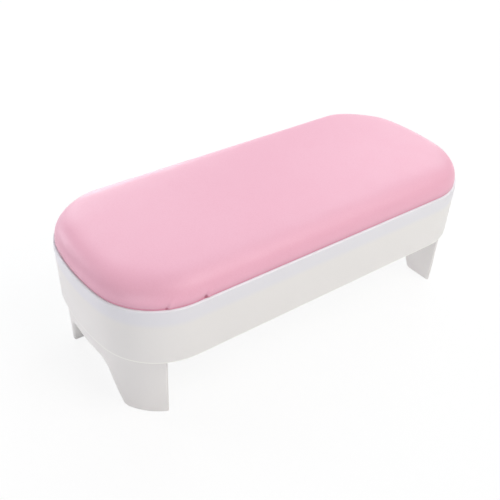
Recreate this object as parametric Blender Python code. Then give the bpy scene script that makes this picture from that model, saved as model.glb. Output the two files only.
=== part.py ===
"""Manicure hand rest: a moulded stand on four hollow legs, with an upholstered cushion screwed into its tray.

Units are metres, +Z is up. X runs along the length and the origin is at the middle of the
footprint, on the table. Insets are measured inwards from the outline of the rim.
"""

import math

import bmesh
import bpy
from mathutils import Matrix, Vector

# Overall size
LENGTH = 0.260
WIDTH = 0.115
HEIGHT = 0.090

# Plan outline: straight long sides, rounded corners and gently curved ends
END_RADIUS = 0.159
CORNER_RADIUS = 0.0395

# Stand
RIM_HEIGHT = 0.0743
BAND_HEIGHT = 0.0355
BAND_DRAFT = 0.0007
LEG_STEP = 0.0021
LEG_DRAFT = 0.0009
WALL = 0.0020
RIM_FILLET = 0.0008
RIM_INNER_FILLET = 0.0004
BAND_FILLET = 0.0006
LEG_DEPTH = 0.026
LEG_EDGE = 0.0010
CORE_DRAFT = 0.0004

# Arch in each end, between the two legs
ARCH_HEIGHT = 0.0255
ARCH_FOOT_WIDTH = 0.061
ARCH_TOP_WIDTH = 0.038
ARCH_RADIUS = 0.010
ARCH_MOUTH = 0.0024
HEEL_RADIUS = 0.0016
HEEL_EASE = 0.0060

# Tray, deck and what stiffens the deck
TRAY_DEPTH = 0.010
DECK = 0.0022
RIB = 0.0016
RIB_DEPTH = 0.0060
BOSS_RADIUS = 0.0042
BOSS_DEPTH = 0.0045
PAD_RADIUS = 0.0050

# Cushion
COVER = 0.0010
HEM = 0.0140
BOARD = 0.0040
CUSHION_EDGE = 0.0011
SEAM_LIFT = 0.0005
ROLL = 0.0145
ROLL_POWER = 2.35
CORNER_EASE = 0.55
BOW = 0.0013

# Screws that hold the board down, in from the ends and from the long sides
SCREW_FROM_END = 0.052
SCREW_FROM_SIDE = 0.028
SCREW_RADIUS = 0.0016
SCREW_LENGTH = 0.0120
SCREW_TIP = 0.0020
SCREW_TIP_RADIUS = 0.0003
HEAD_RADIUS = 0.0033
HEAD_HEIGHT = 0.0022
HEAD_FACE_RADIUS = 0.0020
RECESS_WIDTH = 0.0007
RECESS_SPAN = 0.0028
RECESS_DEPTH = 0.0012

# Staples that hold the cover's hem under the board
STAPLES = 16
STAPLE_WIDTH = 0.0100
STAPLE_DEPTH = 0.0048
STAPLE_WIRE = 0.0006
STAPLE_RIBBON = 0.0010

# Clearance between two pieces that meet, and how far a cutter reaches past what it cuts
GAP = 0.0003
REACH = 0.010

# Facets
END_STEPS = 3
CORNER_STEP = math.radians(10)
SIDE_STEPS = 8
ROLL_STEPS = 7
ROUND_STEPS = 12
FILLET_STEPS = 3
LEG_EDGE_STEPS = 2
LEG_RISE_STEPS = 6
LEG_WALL_ROWS = 5
BOW_STEPS = 3
SMOOTH_ANGLE = math.radians(32)

# Levels that follow from the sizes above
BAND_BOTTOM = RIM_HEIGHT - BAND_HEIGHT
DECK_TOP = RIM_HEIGHT - TRAY_DEPTH
DECK_BOTTOM = DECK_TOP - DECK
STAPLE_BOTTOM = DECK_TOP + GAP
STAPLE_TOP = STAPLE_BOTTOM + STAPLE_WIRE
HEM_BOTTOM = STAPLE_TOP + GAP
HEM_TOP = HEM_BOTTOM + COVER
BOARD_BOTTOM = HEM_TOP + GAP
BOARD_TOP = BOARD_BOTTOM + BOARD
FOAM_BOTTOM = BOARD_TOP + GAP
SEAM = RIM_HEIGHT + SEAM_LIFT

# Places that follow from the sizes above
LEG_WALL_X = LENGTH / 2 - LEG_DEPTH
LEG_TOP_INSET = BAND_DRAFT + LEG_STEP
FOOT_INSET = LEG_TOP_INSET + LEG_DRAFT
COVER_INSET = WALL + GAP
BOARD_INSET = COVER_INSET + COVER + GAP
HEM_INSET = COVER_INSET + HEM
STAPLE_INSET = (BOARD_INSET + HEM_INSET) / 2

# Centres of the plan outline's arcs at the +X end, and where the end's arc meets the corner's
END_X = LENGTH / 2 - END_RADIUS
TURN = math.asin((WIDTH / 2 - CORNER_RADIUS) / (END_RADIUS - CORNER_RADIUS))
CORNER_X = END_X + (END_RADIUS - CORNER_RADIUS) * math.cos(TURN)
CORNER_Y = WIDTH / 2 - CORNER_RADIUS

# The outward direction where the legs' flat inner wall meets the corner
LEG_HEADING = math.acos((LEG_WALL_X - CORNER_X) / (CORNER_RADIUS - LEG_TOP_INSET))

# Colour, roughness and metallic value
PLASTIC = ((0.86, 0.85, 0.84), 0.35, 0.0)
LEATHER = ((0.92, 0.58, 0.70), 0.45, 0.0)
FOAM = ((0.90, 0.86, 0.70), 0.95, 0.0)
FIBREBOARD = ((0.52, 0.38, 0.24), 0.80, 0.0)
STEEL = ((0.62, 0.62, 0.64), 0.35, 1.0)


def clear_scene():
    for thing in list(bpy.data.objects):
        bpy.data.objects.remove(thing, do_unlink=True)


def finish(name, look):
    """A plain material from a colour, a roughness and a metallic value."""
    material = bpy.data.materials.new(name)
    material.use_nodes = True
    shader = material.node_tree.nodes["Principled BSDF"]
    colour, roughness, metallic = look
    shader.inputs["Base Color"].default_value = (*colour, 1.0)
    shader.inputs["Roughness"].default_value = roughness
    shader.inputs["Metallic"].default_value = metallic
    material.diffuse_color = (*colour, 1.0)
    return material


def spot(heading, inset):
    """The point of the +X end whose outward direction has this heading, moved in by inset."""
    if abs(heading) <= TURN:
        x, y, radius = END_X, 0.0, END_RADIUS - inset
    else:
        x, y, radius = CORNER_X, math.copysign(CORNER_Y, heading), CORNER_RADIUS - inset
    return Vector((x + radius * math.cos(heading), y + radius * math.sin(heading)))


def heading_at_x(x, inset):
    """The heading where the +Y corner of the +X end, moved in by inset, reaches x."""
    return math.acos((x - CORNER_X) / (CORNER_RADIUS - inset))


def heading_at_y(y, inset):
    """The heading where the +X end, moved in by inset, reaches y."""
    on_end = y / (END_RADIUS - inset)
    if abs(on_end) <= math.sin(TURN):
        return math.asin(on_end)
    on_corner = (abs(y) - CORNER_Y) / (CORNER_RADIUS - inset)
    return math.copysign(math.asin(min(on_corner, 1.0)), y)


def outline(side_steps):
    """The plan outline, anticlockwise from the +X end, as points with their outward directions."""
    headings = [TURN * step / END_STEPS for step in range(END_STEPS)]
    stops = (TURN, LEG_HEADING, math.pi / 2)
    for low, high in zip(stops, stops[1:]):
        steps = max(1, round((high - low) / CORNER_STEP))
        headings += [low + (high - low) * step / steps for step in range(steps)]
    headings.append(math.pi / 2)
    quarter = [(spot(heading, 0.0), Vector((math.cos(heading), math.sin(heading)))) for heading in headings]
    side = []
    for step in range(1, side_steps):
        side.append((Vector((CORNER_X * (1 - 2 * step / side_steps), WIDTH / 2)), Vector((0.0, 1.0))))
    left = [(Vector((-p.x, p.y)), Vector((-n.x, n.y))) for p, n in reversed(quarter)]
    upper = quarter + side + left
    lower = [(Vector((p.x, -p.y)), Vector((n.x, -n.y))) for p, n in reversed(upper[1:-1])]
    return upper + lower


def ring(path, inset, z):
    """The outline moved inwards by inset, at the height z."""
    return [(*(point - inset * away), z) for point, away in path]


def circle(centre, radius, z):
    turns = [2 * math.pi * step / ROUND_STEPS for step in range(ROUND_STEPS)]
    return [(centre.x + radius * math.cos(t), centre.y + radius * math.sin(t), z) for t in turns]


def arc(radius, steps=FILLET_STEPS):
    """Along and up from a quarter round's start, in steps, or the corner itself where there are none."""
    if steps == 0:
        return [(0.0, 0.0)]
    turns = [math.pi / 2 * step / steps for step in range(steps + 1)]
    return [(radius * (1 - math.cos(t)), radius * math.sin(t)) for t in turns]


def add_object(name, mesh, material):
    """Puts a bmesh into the scene as an object, smooth where its faces turn gently."""
    data = bpy.data.meshes.new(name)
    mesh.to_mesh(data)
    mesh.free()
    thing = bpy.data.objects.new(name, data)
    bpy.context.scene.collection.objects.link(thing)
    if material:
        data.materials.append(material)
        data.shade_smooth()
        data.set_sharp_from_angle(angle=SMOOTH_ANGLE)
    else:
        thing.hide_render = True
        thing.display_type = "WIRE"
    return thing


def skin(mesh, rings):
    """Joins rings that have as many points each, and returns their rows of vertices."""
    rows = [[mesh.verts.new(point) for point in points] for points in rings]
    for last, row in zip(rows, rows[1:]):
        for i in range(len(row)):
            mesh.faces.new((last[i - 1], last[i], row[i], row[i - 1]))
    return rows


def strip(mesh, low, high):
    """Joins two open rows of vertices."""
    for i in range(len(low) - 1):
        mesh.faces.new((low[i], low[i + 1], high[i + 1], high[i]))


def loft(name, rings, material=None):
    """Skins rings that have as many points each, and closes both ends across the X axis.

    Going up, the skin faces outwards, and going down it faces the middle.
    """
    mesh = bmesh.new()
    rows = skin(mesh, rings)
    close_across(mesh, rows[0], faces_up=False)
    close_across(mesh, rows[-1], faces_up=True)
    return add_object(name, mesh, material)


def close_across(mesh, row, faces_up):
    """Fills a ring with strips from each point to the one that mirrors it in the X axis."""
    count = len(row)
    fills = [(row[0], row[1], row[-1])]
    for i in range(1, count // 2 - 1):
        fills.append((row[i], row[i + 1], row[count - i - 1], row[count - i]))
    fills.append((row[count // 2 - 1], row[count // 2], row[count // 2 + 1]))
    for fill in fills:
        mesh.faces.new(fill if faces_up else fill[::-1])


def prism(name, section, start, end, place=None, material=None):
    """Extrudes a flat anticlockwise section of (x, y) points from z = start to z = end."""
    mesh = bmesh.new()
    bottom = [mesh.verts.new((x, y, start)) for x, y in section]
    top = [mesh.verts.new((x, y, end)) for x, y in section]
    for i in range(len(section)):
        mesh.faces.new((bottom[i - 1], bottom[i], top[i], top[i - 1]))
    mesh.faces.new(bottom[::-1])
    mesh.faces.new(top)
    if place:
        bmesh.ops.transform(mesh, matrix=place, verts=mesh.verts)
    return add_object(name, mesh, material)


def block(name, low, high):
    """A box between two corners, for cutting or joining."""
    section = [(low[0], low[1]), (high[0], low[1]), (high[0], high[1]), (low[0], high[1])]
    return prism(name, section, low[2], high[2])


def combine(thing, other, operation):
    """Cuts, joins or keeps what is common, without changing the other object."""
    step = thing.modifiers.new(f"{operation.lower()} {other.name}", "BOOLEAN")
    step.operation = operation
    step.object = other


def joined(name, things):
    """One guide object out of several that don't meet."""
    mesh = bmesh.new()
    for thing in things:
        mesh.from_mesh(thing.data)
        bpy.data.objects.remove(thing, do_unlink=True)
    return add_object(name, mesh, None)


def fillet(before, corner, after, radius, steps):
    """Points round a corner of a flat line, or the corner itself where there is no radius."""
    if radius <= 0:
        return [tuple(corner)]
    start, end = Vector(before) - Vector(corner), Vector(after) - Vector(corner)
    half = start.angle(end) / 2
    centre = Vector(corner) + (start.normalized() + end.normalized()).normalized() * radius / math.sin(half)
    first = Vector(corner) + start.normalized() * radius / math.tan(half) - centre
    last = Vector(corner) + end.normalized() * radius / math.tan(half) - centre
    sweep = math.atan2(first.cross(last), first.dot(last))
    points = []
    for step in range(steps + 1):
        points.append(tuple(centre + Matrix.Rotation(sweep * step / steps, 2) @ first))
    return points


class Arch:
    """The arch between two legs, seen along X, made larger all round by grow.

    Its flat top, round shoulders, slanted sides and round heels take these shares of its points.
    """

    TOP_SHARE, SHOULDER_SHARE, HEEL_SHARE = 0.22, 0.34, 0.08

    def __init__(self, grow):
        self.lean = (ARCH_FOOT_WIDTH - ARCH_TOP_WIDTH) / 2 / ARCH_HEIGHT
        self.tilt = math.atan(self.lean)
        self.foot = ARCH_FOOT_WIDTH / 2 + grow * math.hypot(1.0, self.lean)
        self.top = ARCH_HEIGHT + grow
        self.radius = ARCH_RADIUS + grow
        self.heel = max(HEEL_RADIUS - grow, 0.0)
        shoulder = self.foot - self.lean * self.top
        back = self.radius * math.tan((math.pi / 2 - self.tilt) / 2)
        self.flat = shoulder - back
        self.side_top = Vector((shoulder + back * math.sin(self.tilt), self.top - back * math.cos(self.tilt)))

    def point(self, share):
        """A point and its direction into the plastic, for a share from 1 at one foot to -1 at the other."""
        along = abs(share)
        shoulder_end = self.TOP_SHARE + self.SHOULDER_SHARE
        heel_start = 1.0 - self.HEEL_SHARE
        turn = self.tilt
        if along <= self.TOP_SHARE:
            turn = math.pi / 2
            y, z = self.flat * along / self.TOP_SHARE, self.top
        elif along <= shoulder_end:
            turn += (math.pi / 2 - self.tilt) * (shoulder_end - along) / self.SHOULDER_SHARE
            y = self.flat + self.radius * math.cos(turn)
            z = self.top - self.radius * (1 - math.sin(turn))
        elif along <= heel_start:
            heel_top = Vector((self.foot - self.lean * self.heel, self.heel))
            y, z = self.side_top.lerp(heel_top, (along - shoulder_end) / (heel_start - shoulder_end))
        else:
            swing = math.pi / 2 * (1.0 - along) / self.HEEL_SHARE
            z = self.heel * (1 - math.cos(swing))
            y = self.foot - self.lean * z + self.heel * (1 - math.sin(swing))
        turn *= min(1.0, z / HEEL_EASE)
        side = math.copysign(1.0, share)
        return Vector((side * y, z)), Vector((side * math.cos(turn), math.sin(turn)))


def leg_inset(z):
    """How far the legs' outer wall lies in from the rim's outline."""
    return LEG_TOP_INSET + LEG_DRAFT * (1 - z / BAND_BOTTOM)


def hollow_inset(z):
    """How far the wall of the hollow inside the legs lies in from the rim's outline."""
    return FOOT_INSET + WALL + CORE_DRAFT * z / DECK_BOTTOM


class LegPair:
    """The skin of the two legs at one end, or of the hollow inside them.

    It runs from the outer wall into the arch, through it and out again onto the flat inner wall.
    """

    def __init__(self, mesh, side, hollow):
        self.mesh, self.side = mesh, side
        grow = WALL if hollow else 0.0
        self.top = DECK_BOTTOM if hollow else BAND_BOTTOM
        self.inset = hollow_inset if hollow else leg_inset
        self.plane = LEG_WALL_X + grow
        self.arch = Arch(grow)
        self.edge = 0.0 if hollow else LEG_EDGE
        self.mouth = 0.0 if hollow else ARCH_MOUTH

    def vertex(self, x, y, z):
        return self.mesh.verts.new((self.side * x, y, z))

    def upright_edge(self, y_side):
        """Rows of vertices round the upright edge between the outer wall and the flat inner wall."""
        rows = []
        for step in range(LEG_RISE_STEPS + 1):
            z = self.top * step / LEG_RISE_STEPS
            heading = heading_at_x(self.plane, self.inset(z))
            corner = spot(heading, self.inset(z))
            on_wall = corner + Vector((math.sin(heading), -math.cos(heading)))
            on_plane = corner - Vector((0.0, 1.0))
            points = fillet(on_wall, corner, on_plane, self.edge, LEG_EDGE_STEPS)
            rows.append([self.vertex(x, y_side * y, z) for x, y in points])
        for low, high in zip(rows, rows[1:]):
            strip(self.mesh, low, high)
        return rows

    def mouth_rows(self, count, radius, steps, inner):
        """Rows of vertices round the arch's mouth, from the wall into the arch."""
        rows = []
        for back, up in arc(radius, steps):
            row = []
            for k in range(count):
                point, away = self.arch.point(1 - 2 * k / (count - 1))
                y, z = point + (radius - up) * away
                x = self.plane + back
                if not inner:
                    x = spot(heading_at_y(y, self.inset(z)), self.inset(z)).x - back
                row.append(self.vertex(x, y, z))
            rows.append(row)
        return rows

    def wall_rows(self, outer, mouth):
        """Rows of vertices on the outer wall, between its border and the arch's mouth."""
        rows = []
        for step in range(1, LEG_WALL_ROWS):
            share = step / LEG_WALL_ROWS
            row = []
            for a, b in zip(outer, mouth):
                z = a.co.z + (b.co.z - a.co.z) * share
                start = heading_at_y(a.co.y, self.inset(a.co.z))
                end = heading_at_y(b.co.y, self.inset(b.co.z))
                x, y = spot(start + (end - start) * share, self.inset(z))
                row.append(self.vertex(x, y, z))
            rows.append(row)
        return rows

    def build(self, crest):
        """Skins the pair under crest, the vertices of the outer wall's top from +Y to -Y.

        Returns the vertices along the flat inner wall's top: at the +Y edge, between, and at the -Y edge.
        """
        left, right = self.upright_edge(1), self.upright_edge(-1)
        outer = [row[0] for row in left] + crest + [row[0] for row in reversed(right)]
        plane_top = []
        for step in range(1, len(crest) + 1):
            y = left[-1][-1].co.y * (1 - 2 * step / (len(crest) + 1))
            plane_top.append(self.vertex(self.plane, y, self.top))
        plane = [row[-1] for row in left] + plane_top + [row[-1] for row in reversed(right)]
        steps = FILLET_STEPS if self.mouth else 0
        mouth = self.mouth_rows(len(outer), self.mouth, steps, inner=False)
        steps = LEG_EDGE_STEPS if self.edge else 0
        inner_mouth = self.mouth_rows(len(outer), self.edge, steps, inner=True)
        rows = [outer, *self.wall_rows(outer, mouth[0]), *mouth, *reversed(inner_mouth), plane]
        for first, second in zip(rows, rows[1:]):
            strip(self.mesh, first, second)
        return left[-1], plane_top, right[-1]


def leg_hollow(mesh, side, count):
    """The hollow of the two legs at one end: it runs over the arch and is open at both feet."""
    hollow = LegPair(mesh, side, hollow=True)
    inset = hollow_inset(DECK_BOTTOM)
    reach = heading_at_x(hollow.plane, inset)
    crest = []
    for step in range(1, count + 1):
        x, y = spot(reach * (1 - 2 * step / (count + 1)), inset)
        crest.append(hollow.vertex(x, y, DECK_BOTTOM))
    left, plane_top, right = hollow.build(crest)
    mesh.faces.new([left[0], *crest, right[0], *reversed(plane_top)])


def stand_skin(material):
    """The whole moulding as one closed skin: rim band, tray and deck, and a pair of hollow legs at each end."""
    mesh = bmesh.new()
    path = outline(1)
    count = len(path)
    profile = [(WALL, DECK_TOP)]
    profile += [(WALL - RIM_INNER_FILLET + up, RIM_HEIGHT - back) for back, up in reversed(arc(RIM_INNER_FILLET))]
    profile += [(back, RIM_HEIGHT - RIM_FILLET + up) for back, up in reversed(arc(RIM_FILLET))]
    profile += [(BAND_DRAFT + BAND_FILLET - up, BAND_BOTTOM + back) for back, up in reversed(arc(BAND_FILLET))]
    rows = skin(mesh, [ring(path, inset, z) for inset, z in profile])
    mesh.faces.new(rows[0])
    edge = rows[-1]
    ledge = [mesh.verts.new(point) for point in ring(path, LEG_TOP_INSET, BAND_BOTTOM)]

    # Where the ledge meets the legs' flat inner walls, anticlockwise from the +X, +Y one
    meets = [i for i in range(count) if abs(abs(ledge[i].co.x) - LEG_WALL_X) < GAP / 100]
    first, second, third, fourth = meets
    before_first = [ledge[i] for i in range(first - 1, -1, -1)]
    crests = {1: before_first + ledge[:fourth:-1], -1: ledge[second + 1:third]}
    side_inset = LEG_TOP_INSET + CORE_DRAFT
    reach = spot(heading_at_x(LEG_WALL_X, side_inset), side_inset).y
    rounded = {}
    deck_ends = {}
    for side, start, end in ((1, first, fourth), (-1, second, third)):
        left, plane_top, right = LegPair(mesh, side, hollow=False).build(crests[side])
        rounded[start], rounded[end] = left, right
        low = [ledge[start], left[-1], *plane_top, right[-1], ledge[end]]
        places = [reach * (1 - 2 * step / (len(low) - 1)) for step in range(len(low))]
        deck_ends[side] = [mesh.verts.new((side * LEG_WALL_X, y, DECK_BOTTOM)) for y in places]
        strip(mesh, low, deck_ends[side])
        leg_hollow(mesh, side, len(crests[side]))

    # The ledge under the band, round the legs' rounded edges
    for i in range(count):
        j = (i + 1) % count
        inner = [ledge[j], ledge[i]]
        if j in (first, third):
            inner[1:1] = reversed(rounded[j])
        elif i in (second, fourth):
            inner[1:1] = rounded[i]
        mesh.faces.new([edge[i], edge[j], *inner])

    # The long sides' inner walls and the underside of the deck
    sides = []
    for start, end, ends in ((first, second, (1, -1)), (third, fourth, (-1, 1))):
        row = [mesh.verts.new((*(point - side_inset * away), DECK_BOTTOM)) for point, away in path[start + 1:end]]
        corner = 0 if start == first else -1
        strip(mesh, ledge[start:end + 1], [deck_ends[ends[0]][corner], *row, deck_ends[ends[1]][corner]])
        sides.append(row)
    mesh.faces.new([*reversed(deck_ends[1]), *sides[0], *deck_ends[-1], *sides[1]])

    # The feet: a ring of plastic round the hollow of each leg
    for side_x in (-1, 1):
        for side_y in (-1, 1):
            rims = []
            for border in mesh.edges:
                middle = (border.verts[0].co + border.verts[1].co) / 2
                if border.is_boundary and middle.x * side_x > 0 and middle.y * side_y > 0:
                    rims.append(border)
            bmesh.ops.triangle_fill(mesh, use_beauty=True, use_dissolve=False, edges=rims)
    bmesh.ops.recalc_face_normals(mesh, faces=mesh.faces)
    return add_object("stand", mesh, material)


def screw_places():
    """Three screws along each side of the board."""
    x = LENGTH / 2 - SCREW_FROM_END
    y = WIDTH / 2 - SCREW_FROM_SIDE
    return [Vector((column * x, row * y)) for row in (-1, 1) for column in (-1, 0, 1)]


def add_stiffening(stand):
    """Ribs under the deck through each row of screws, with a boss below and a pad above at each screw."""
    inside = DECK_TOP - DECK / 2
    rib_bottom = DECK_BOTTOM - RIB_DEPTH
    reach_y = WIDTH / 2 - BAND_DRAFT - WALL / 2
    reach_x = LEG_WALL_X + WALL / 2
    places = screw_places()
    for number, x in enumerate(sorted({place.x for place in places}), 1):
        low, high = (x - RIB / 2, -reach_y, rib_bottom), (x + RIB / 2, reach_y, inside)
        combine(stand, block(f"cross_rib_{number}", low, high), "UNION")
    for number, y in enumerate(sorted({place.y for place in places}), 1):
        low, high = (-reach_x, y - RIB / 2, rib_bottom), (reach_x, y + RIB / 2, inside)
        combine(stand, block(f"long_rib_{number}", low, high), "UNION")
    bosses = []
    holes = []
    for place in places:
        levels = [(BOSS_RADIUS, DECK_BOTTOM - BOSS_DEPTH), (BOSS_RADIUS, inside)]
        levels += [(PAD_RADIUS, inside), (PAD_RADIUS, BOARD_BOTTOM - GAP)]
        bosses.append(loft("boss", [circle(place, radius, z) for radius, z in levels]))
        clear = SCREW_RADIUS + GAP
        holes.append(loft("hole", [circle(place, clear, z) for z in (BAND_BOTTOM, RIM_HEIGHT)]))
    combine(stand, joined("bosses", bosses), "UNION")
    combine(stand, joined("screw_holes", holes), "DIFFERENCE")
    heads = []
    for place in places:
        bottom = DECK_BOTTOM - max(RIB_DEPTH, BOSS_DEPTH) - REACH
        levels = (bottom, DECK_BOTTOM - BOSS_DEPTH)
        heads.append(loft("head", [circle(place, HEAD_RADIUS + RIB, z) for z in levels]))
    combine(stand, joined("head_clearances", heads), "DIFFERENCE")


def make_stand(material):
    stand = stand_skin(material)
    add_stiffening(stand)


def crown(path, depth):
    """Rings of the cushion's top, depth below its outer face, from the seam at the rim to the middle.

    The edge rolls over on a superellipse, and the top then bows up gently towards its middle.
    """
    rise = HEIGHT - BOW - SEAM - depth
    widths = [ROLL * (1 + CORNER_EASE * 2 * abs(away.x * away.y)) for _, away in path]
    edge = CUSHION_EDGE + depth
    rows = []
    for step in range(ROLL_STEPS + 1):
        turn = math.pi / 2 * step / ROLL_STEPS
        across = 1 - math.cos(turn) ** (2 / ROLL_POWER)
        up = rise * math.sin(turn) ** (2 / ROLL_POWER)
        rows.append([(*(p - (edge + width * across) * n), SEAM + up) for (p, n), width in zip(path, widths)])
    last = CORNER_RADIUS - WALL
    for step in range(1, BOW_STEPS + 1):
        share = 1 - (1 - step / BOW_STEPS) ** 2
        row = []
        for (p, n), width in zip(path, widths):
            start = edge + width
            x, y = p - (start + (last - start) * step / BOW_STEPS) * n
            row.append((x, y, HEIGHT - BOW - depth + BOW * share * (1 - (2 * x / LENGTH) ** 2)))
        rows.append(row)
    return rows


def make_cover(path, material):
    """The cover: over the foam, down inside the rim and turned in under the board, where it is open."""
    inner_side = COVER_INSET + COVER
    shoulder = RIM_HEIGHT - RIM_INNER_FILLET - COVER
    inside = crown(path, COVER)[::-1]
    inside += [ring(path, inner_side, shoulder), ring(path, inner_side, HEM_TOP), ring(path, HEM_INSET, HEM_TOP)]
    outside = [ring(path, HEM_INSET, HEM_BOTTOM)]
    for back, up in arc(COVER):
        outside.append(ring(path, COVER_INSET + COVER - up, HEM_BOTTOM + back))
    outside.append(ring(path, COVER_INSET, shoulder + COVER))
    outside += crown(path, 0.0)
    return loft("cushion_cover", inside + outside, material)


def make_foam(path, material):
    """The foam between the board and the cover."""
    depth = COVER + GAP
    side = COVER_INSET + depth
    rows = [ring(path, side, FOAM_BOTTOM), ring(path, side, RIM_HEIGHT - RIM_INNER_FILLET - depth)]
    return loft("foam_pad", rows + crown(path, depth), material)


def make_board(path, material):
    """The board that the foam lies on and that the screws and staples go into."""
    board = loft("cushion_board", [ring(path, BOARD_INSET, z) for z in (BOARD_BOTTOM, BOARD_TOP)], material)
    clear = SCREW_RADIUS + GAP
    levels = (BOARD_BOTTOM - COVER, BOARD_TOP + GAP / 2)
    pilots = [loft("pilot", [circle(place, clear, z) for z in levels]) for place in screw_places()]
    combine(board, joined("pilot_holes", pilots), "DIFFERENCE")
    return board


def make_screw(number, place, material):
    """A pan-head screw, driven up through the boss into the board."""
    seat = DECK_BOTTOM - BOSS_DEPTH - GAP
    face = seat - HEAD_HEIGHT
    tip = min(seat + SCREW_LENGTH, BOARD_TOP)
    profile = [
        (HEAD_FACE_RADIUS, face),
        ((HEAD_FACE_RADIUS + 2 * HEAD_RADIUS) / 3, face + HEAD_HEIGHT / 6),
        (HEAD_RADIUS, face + HEAD_HEIGHT / 2),
        (HEAD_RADIUS, seat),
        (SCREW_RADIUS, seat),
        (SCREW_RADIUS, tip - SCREW_TIP),
        (SCREW_TIP_RADIUS, tip),
    ]
    screw = loft(f"board_screw_{number}", [circle(place, radius, z) for radius, z in profile], material)
    near, far = RECESS_WIDTH / 2, RECESS_SPAN / 2
    quarter = [(far, -near), (far, near), (near, near)]
    cross = []
    for turn in range(4):
        cross += [tuple(Matrix.Rotation(turn * math.pi / 2, 2) @ Vector(point)) for point in quarter]
    at_face = Matrix.Translation((place.x, place.y, face))
    recess = prism(f"recess_{number}", cross, -RECESS_DEPTH, RECESS_DEPTH, at_face)
    combine(screw, recess, "DIFFERENCE")


def staple_places(path):
    """Evenly spaced places round the hem, each a matrix with its X along the edge."""
    points = [point - STAPLE_INSET * away for point, away in path]
    legs = [(b - a).length for a, b in zip(points, points[1:] + points[:1])]
    spacing = sum(legs) / STAPLES
    places = []
    for number in range(STAPLES):
        left = spacing * (number + 0.5)
        index = 0
        while left > legs[index]:
            left -= legs[index]
            index += 1
        start, end = points[index], points[(index + 1) % len(points)]
        along = (end - start).normalized()
        spot = start + along * left
        turn = math.atan2(along.y, along.x)
        places.append(Matrix.Translation((spot.x, spot.y, 0.0)) @ Matrix.Rotation(turn, 4, "Z"))
    return places


def upright(place):
    """Stands a flat section up: its x runs along the edge and its y runs upwards."""
    return place @ Matrix(((1, 0, 0, 0), (0, 0, -1, 0), (0, 1, 0, 0), (0, 0, 0, 1)))


def staple_section(clear):
    """A staple seen from the side: a crown below, and two legs up."""
    outer = STAPLE_WIDTH / 2 + clear
    inner = STAPLE_WIDTH / 2 - STAPLE_WIRE - clear
    tip = STAPLE_BOTTOM + STAPLE_DEPTH + clear
    return outer, inner, tip


def make_staple(number, place, material):
    outer, inner, tip = staple_section(0.0)
    section = [
        (-outer, STAPLE_BOTTOM),
        (outer, STAPLE_BOTTOM),
        (outer, tip),
        (inner, tip),
        (inner, STAPLE_TOP),
        (-inner, STAPLE_TOP),
        (-inner, tip),
        (-outer, tip),
    ]
    half = STAPLE_RIBBON / 2
    prism(f"cover_staple_{number}", section, -half, half, upright(place), material)


def staple_holes(places):
    """The slots that the staples' legs make in the hem and the board."""
    outer, inner, tip = staple_section(GAP)
    half = STAPLE_RIBBON / 2 + GAP
    slots = []
    for place in places:
        for near, far in ((-outer, -inner), (inner, outer)):
            section = [(near, STAPLE_TOP), (far, STAPLE_TOP), (far, tip), (near, tip)]
            slots.append(prism("slot", section, -half, half, upright(place)))
    return joined("staple_slots", slots)


def main():
    clear_scene()
    plastic = finish("white_plastic", PLASTIC)
    leather = finish("pink_leather", LEATHER)
    foam = finish("foam", FOAM)
    fibreboard = finish("fibreboard", FIBREBOARD)
    steel = finish("steel", STEEL)

    make_stand(plastic)
    board = make_board(outline(1), fibreboard)
    soft_path = outline(SIDE_STEPS)
    make_foam(soft_path, foam)
    cover = make_cover(soft_path, leather)
    for number, place in enumerate(screw_places(), 1):
        make_screw(number, place, steel)
    places = staple_places(soft_path)
    for number, place in enumerate(places, 1):
        make_staple(number, place, steel)
    slots = staple_holes(places)
    combine(cover, slots, "DIFFERENCE")
    combine(board, slots, "DIFFERENCE")


main()
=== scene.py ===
"""Manicure hand rest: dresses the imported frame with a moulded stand, a padded cushion and their fixings.

Metres, +Z up, in the frame of the CAD. X runs along the length and the table is at z = 0.
Insets are measured inwards from the outline of the rim.
"""

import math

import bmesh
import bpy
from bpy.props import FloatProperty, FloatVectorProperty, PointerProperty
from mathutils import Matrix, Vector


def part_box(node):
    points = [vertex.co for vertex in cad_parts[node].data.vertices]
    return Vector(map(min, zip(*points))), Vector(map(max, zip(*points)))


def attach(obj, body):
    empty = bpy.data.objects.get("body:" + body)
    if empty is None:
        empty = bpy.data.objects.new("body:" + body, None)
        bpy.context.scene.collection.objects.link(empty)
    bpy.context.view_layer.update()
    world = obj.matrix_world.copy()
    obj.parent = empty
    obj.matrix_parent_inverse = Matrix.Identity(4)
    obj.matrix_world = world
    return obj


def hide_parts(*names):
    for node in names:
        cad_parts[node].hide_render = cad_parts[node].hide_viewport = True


bl_info = {
    "name": "Manicure hand rest",
    "version": (1, 0, 0),
    "blender": (4, 5, 0),
    "location": "3D View > Sidebar > Hand rest",
    "description": "Builds a hand rest for nail care around its frame, with a plain studio stage",
    "category": "Add Mesh",
}

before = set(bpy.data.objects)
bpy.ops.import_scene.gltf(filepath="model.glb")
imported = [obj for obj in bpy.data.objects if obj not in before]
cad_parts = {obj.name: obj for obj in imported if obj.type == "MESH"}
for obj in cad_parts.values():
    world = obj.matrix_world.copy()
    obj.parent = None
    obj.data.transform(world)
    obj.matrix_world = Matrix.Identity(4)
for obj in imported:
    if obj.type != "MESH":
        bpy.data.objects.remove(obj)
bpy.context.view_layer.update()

# Sizes that the frame gives
BOARD_LOW, BOARD_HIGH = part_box("cushion_board")
HALF_LENGTH, HALF_WIDTH, RIM_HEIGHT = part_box("stand")[1]
CROWN_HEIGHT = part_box("cushion_cover")[1].z

# How near two measures are taken as the same
SAME = 1e-6


def length(name, description, default):
    return FloatProperty(name=name, description=description, default=default, unit="LENGTH", precision=5)


def number(name, description, default):
    return FloatProperty(name=name, description=description, default=default)


def angle(name, description, degrees):
    return FloatProperty(name=name, description=description, default=math.radians(degrees), subtype="ANGLE")


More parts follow.
